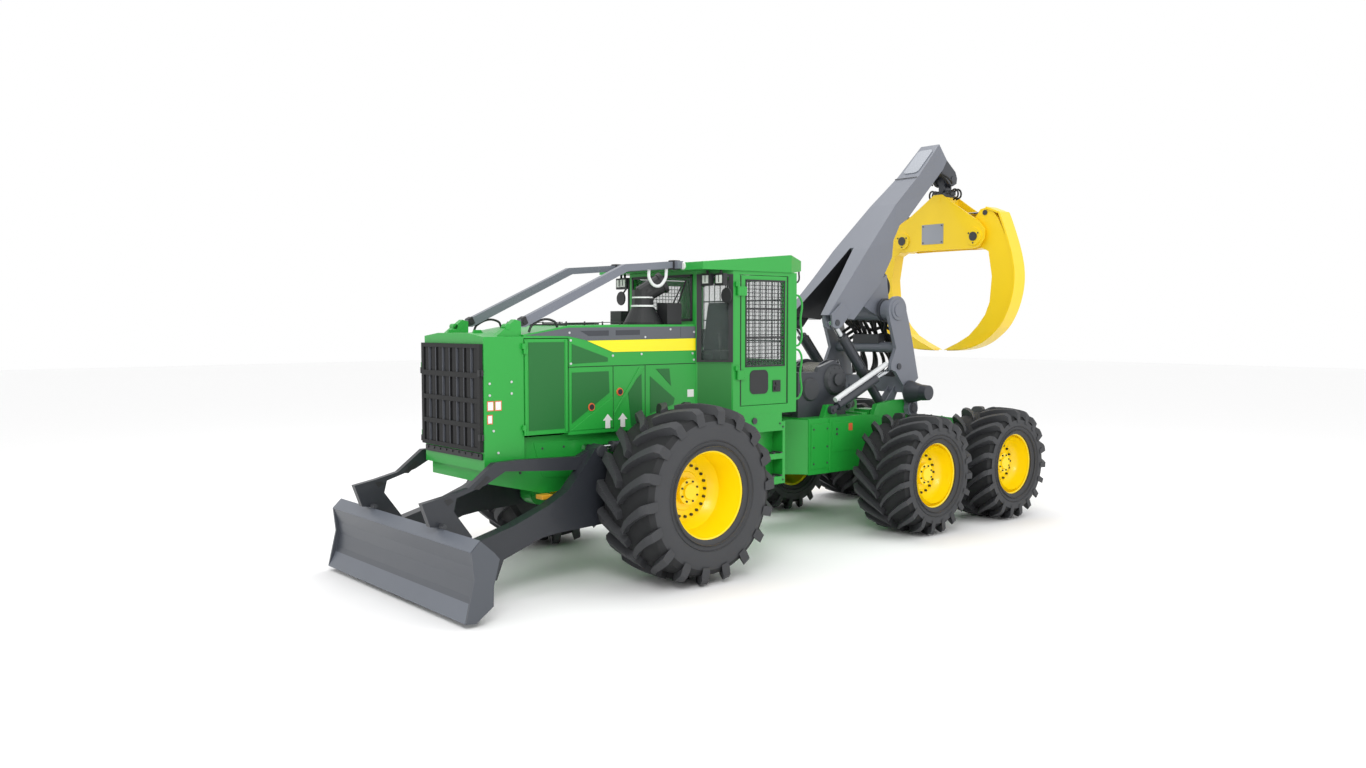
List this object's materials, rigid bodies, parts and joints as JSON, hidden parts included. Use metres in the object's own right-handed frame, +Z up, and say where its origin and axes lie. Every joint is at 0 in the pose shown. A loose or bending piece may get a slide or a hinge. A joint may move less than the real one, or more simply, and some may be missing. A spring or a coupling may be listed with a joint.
{
  "type": "articulated grapple skidder",
  "caption": "Full-size articulated forestry skidder with a front blade, rear bogie, winch, tilting arch, lifting boom and log grapple.",
  "frame": {"origin": "on the ground under the middle of the outer box", "axes": "+X towards the machine's left side, -Y towards its front, +Z up"},
  "size_m": [3.354, 8.76, 5.05],
  "materials": {
    "green_paint": "satin",
    "grey_paint": "satin",
    "dark_paint": "satin",
    "yellow_paint": "satin",
    "gold_paint": "satin",
    "black_metal": "matte",
    "steel_rod": "polished",
    "tyre": "matte",
    "glass": "clear",
    "trim_plastic": "matte"
  },
  "bodies": {
    "front": {"front_frame": "green_paint", "front_axle": "green_paint", "engine_block": "dark_paint", "radiator_housing": "green_paint", "engine_hood": "green_paint", "intake_stack": "black_metal", "cab_shell": "green_paint", "cab_roof": "green_paint", "windscreen": "glass", "rear_window": "glass", "operator_seat": "trim_plastic", "control_console": "trim_plastic", "limb_guards": "grey_paint", "step_tank_left": "green_paint", "step_tank_right": "green_paint"},
    "grille": {"grille_guard": "green_paint"},
    "cooler_door_left": {"cooler_door_left": "green_paint"},
    "cooler_door_right": {"cooler_door_right": "green_paint"},
    "cab_door_left": {"cab_door_left": "green_paint", "door_window_left": "glass"},
    "cab_door_right": {"cab_door_right": "green_paint", "door_window_right": "glass"},
    "blade": {"dozer_blade": "grey_paint", "push_frame": "dark_paint"},
    "blade_barrels": {"blade_cylinder_left": "dark_paint", "blade_cylinder_right": "dark_paint"},
    "blade_rods": {"blade_rod_left": "steel_rod", "blade_rod_right": "steel_rod"},
    "front_wheel_left": {"front_rim_left": "yellow_paint", "front_tyre_left": "tyre"},
    "front_wheel_right": {"front_rim_right": "yellow_paint", "front_tyre_right": "tyre"},
    "rear": {"rear_frame": "green_paint", "bogie_axle": "green_paint", "winch": "dark_paint"},
    "arch": {"arch": "grey_paint"},
    "arch_barrels": {"arch_cylinder_left": "grey_paint", "arch_cylinder_right": "grey_paint"},
    "arch_rods": {"arch_rod_left": "steel_rod", "arch_rod_right": "steel_rod"},
    "boom": {"boom": "grey_paint"},
    "boom_barrels": {"boom_cylinder_left": "grey_paint", "boom_cylinder_right": "grey_paint"},
    "boom_rods": {"boom_rod_left": "steel_rod", "boom_rod_right": "steel_rod"},
    "crosshead": {"crosshead": "dark_paint"},
    "rotator": {"rotator": "dark_paint"},
    "grapple_head": {"grapple_head": "gold_paint"},
    "tong_left": {"tong_left": "gold_paint"},
    "tong_right": {"tong_right": "gold_paint"},
    "grapple_barrel": {"grapple_cylinder": "gold_paint"},
    "grapple_rod": {"grapple_rod": "steel_rod"},
    "bogie_front_wheel_left": {"bogie_front_rim_left": "yellow_paint", "bogie_front_tyre_left": "tyre"},
    "bogie_front_wheel_right": {"bogie_front_rim_right": "yellow_paint", "bogie_front_tyre_right": "tyre"},
    "bogie_rear_wheel_left": {"bogie_rear_rim_left": "yellow_paint", "bogie_rear_tyre_left": "tyre"},
    "bogie_rear_wheel_right": {"bogie_rear_rim_right": "yellow_paint", "bogie_rear_tyre_right": "tyre"}
  },
  "joints": [
    {"name": "front_wheel_left_spin", "type": "hinge", "parent": "front", "child": "front_wheel_left", "pos_m": [1.289, -1.769, 0.89], "axis": [1, 0, 0], "continuous": true},
    {"name": "front_wheel_right_spin", "type": "hinge", "parent": "front", "child": "front_wheel_right", "pos_m": [-1.289, -1.769, 0.89], "axis": [1, 0, 0], "continuous": true},
    {"name": "bogie_front_wheel_left_spin", "type": "hinge", "parent": "rear", "child": "bogie_front_wheel_left", "pos_m": [1.183, 1.979, 0.73], "axis": [1, 0, 0], "continuous": true},
    {"name": "bogie_front_wheel_right_spin", "type": "hinge", "parent": "rear", "child": "bogie_front_wheel_right", "pos_m": [-1.183, 1.979, 0.73], "axis": [1, 0, 0], "continuous": true},
    {"name": "bogie_rear_wheel_left_spin", "type": "hinge", "parent": "rear", "child": "bogie_rear_wheel_left", "pos_m": [1.183, 3.65, 0.73], "axis": [1, 0, 0], "continuous": true},
    {"name": "bogie_rear_wheel_right_spin", "type": "hinge", "parent": "rear", "child": "bogie_rear_wheel_right", "pos_m": [-1.183, 3.65, 0.73], "axis": [1, 0, 0], "continuous": true},
    {"name": "articulation", "type": "hinge", "parent": "front", "child": "rear", "pos_m": [0, 0.431, 1.07], "axis": [0, 0, 1], "range_deg": [-45, 45]},
    {"name": "grille_open", "type": "hinge", "parent": "front", "child": "grille", "pos_m": [-0.605, -3.674, 1.87], "axis": [0, 0, -1], "range_deg": [0, 100]},
    {"name": "cooler_door_left_open", "type": "hinge", "parent": "front", "child": "cooler_door_left", "pos_m": [0.603, -3.221, 1.95], "axis": [0, 0, -1], "range_deg": [0, 100]},
    {"name": "cooler_door_right_open", "type": "hinge", "parent": "front", "child": "cooler_door_right", "pos_m": [-0.603, -3.221, 1.95], "axis": [0, 0, 1], "range_deg": [0, 100]},
    {"name": "cab_door_left_open", "type": "hinge", "parent": "front", "child": "cab_door_left", "pos_m": [0.918, -0.729, 2.4], "axis": [0, 0, -1], "range_deg": [0, 85]},
    {"name": "cab_door_right_open", "type": "hinge", "parent": "front", "child": "cab_door_right", "pos_m": [-0.918, -0.729, 2.4], "axis": [0, 0, 1], "range_deg": [0, 85]},
    {"name": "blade_lift", "type": "hinge", "parent": "front", "child": "blade", "pos_m": [0, -2.389, 0.72], "axis": [-1, 0, 0], "range_deg": [-4, 9]},
    {"name": "blade_barrels_pivot", "type": "hinge", "parent": "front", "child": "blade_barrels", "pos_m": [0, -1.219, 1.33], "axis": [-1, 0, 0], "range_deg": [-0.239, 0.5378]},
    {"name": "blade_rods_slide", "type": "slide", "parent": "blade_barrels", "child": "blade_rods", "axis": [0, 0.9999, 0.0156], "range_m": [-0.04148, 0.09334]},
    {"name": "arch_tilt", "type": "hinge", "parent": "rear", "child": "arch", "pos_m": [0, 2.721, 1.45], "axis": [1, 0, 0], "range_deg": [-35, 0]},
    {"name": "arch_barrels_pivot", "type": "hinge", "parent": "rear", "child": "arch_barrels", "pos_m": [0, 1.251, 1.5], "axis": [1, 0, 0], "range_deg": [-3, 0]},
    {"name": "arch_rods_slide", "type": "slide", "parent": "arch_barrels", "child": "arch_rods", "axis": [0, -0.9188, -0.3948], "range_m": [-0.36989, 0]},
    {"name": "boom_lift", "type": "hinge", "parent": "arch", "child": "boom", "pos_m": [0, 2.398, 2.733], "axis": [-1, 0, 0], "range_deg": [0, 30]},
    {"name": "boom_barrels_pivot", "type": "hinge", "parent": "arch", "child": "boom_barrels", "pos_m": [0, 2.431, 1.45], "axis": [-1, 0, 0], "range_deg": [0, 11.32]},
    {"name": "boom_rods_slide", "type": "slide", "parent": "boom_barrels", "child": "boom_rods", "axis": [0, -0.6638, 0.7479], "range_m": [0, 0.3809]},
    {"name": "grapple_swing", "type": "hinge", "parent": "boom", "child": "crosshead", "pos_m": [0, 4.171, 4.6], "axis": [1, 0, 0], "range_deg": [0, 85]},
    {"name": "grapple_side_swing", "type": "hinge", "parent": "crosshead", "child": "rotator", "pos_m": [0, 4.171, 4.46], "axis": [0, 1, 0], "range_deg": [-15, 15]},
    {"name": "grapple_turn", "type": "hinge", "parent": "rotator", "child": "grapple_head", "pos_m": [0, 4.171, 4.34], "axis": [0, 0, 1], "continuous": true},
    {"name": "tong_right_open", "type": "hinge", "parent": "grapple_head", "child": "tong_right", "pos_m": [-0.61, 4.171, 3.76], "axis": [0, 1, 0], "range_deg": [-2, 40]},
    {"name": "tong_left_open", "type": "hinge", "parent": "grapple_head", "child": "tong_left", "pos_m": [0.61, 4.171, 3.76], "axis": [0, -1, 0], "range_deg": [-2, 40]},
    {"name": "grapple_barrel_pivot", "type": "hinge", "parent": "tong_right", "child": "grapple_barrel", "pos_m": [-0.74, 4.171, 4.08], "axis": [0, -1, 0], "range_deg": [-2, 40]},
    {"name": "grapple_rod_slide", "type": "slide", "parent": "grapple_barrel", "child": "grapple_rod", "axis": [-1, 0, 0], "range_m": [-0.02354, 0.47085]}
  ],
  "couplings": [
    {"joint": "blade_barrels_pivot", "follows": "blade_lift", "ratio": 0.059758},
    {"joint": "blade_rods_slide", "follows": "blade_lift", "m_per_rad": 0.59419},
    {"joint": "arch_barrels_pivot", "follows": "arch_tilt", "ratio": 0.085688},
    {"joint": "arch_rods_slide", "follows": "arch_tilt", "m_per_rad": 0.60551},
    {"joint": "boom_barrels_pivot", "follows": "boom_lift", "ratio": 0.37741},
    {"joint": "boom_rods_slide", "follows": "boom_lift", "m_per_rad": 0.72747},
    {"joint": "tong_left_open", "follows": "tong_right_open", "ratio": 1},
    {"joint": "grapple_barrel_pivot", "follows": "tong_right_open", "ratio": 1},
    {"joint": "grapple_rod_slide", "follows": "tong_right_open", "m_per_rad": 0.67444}
  ]
}
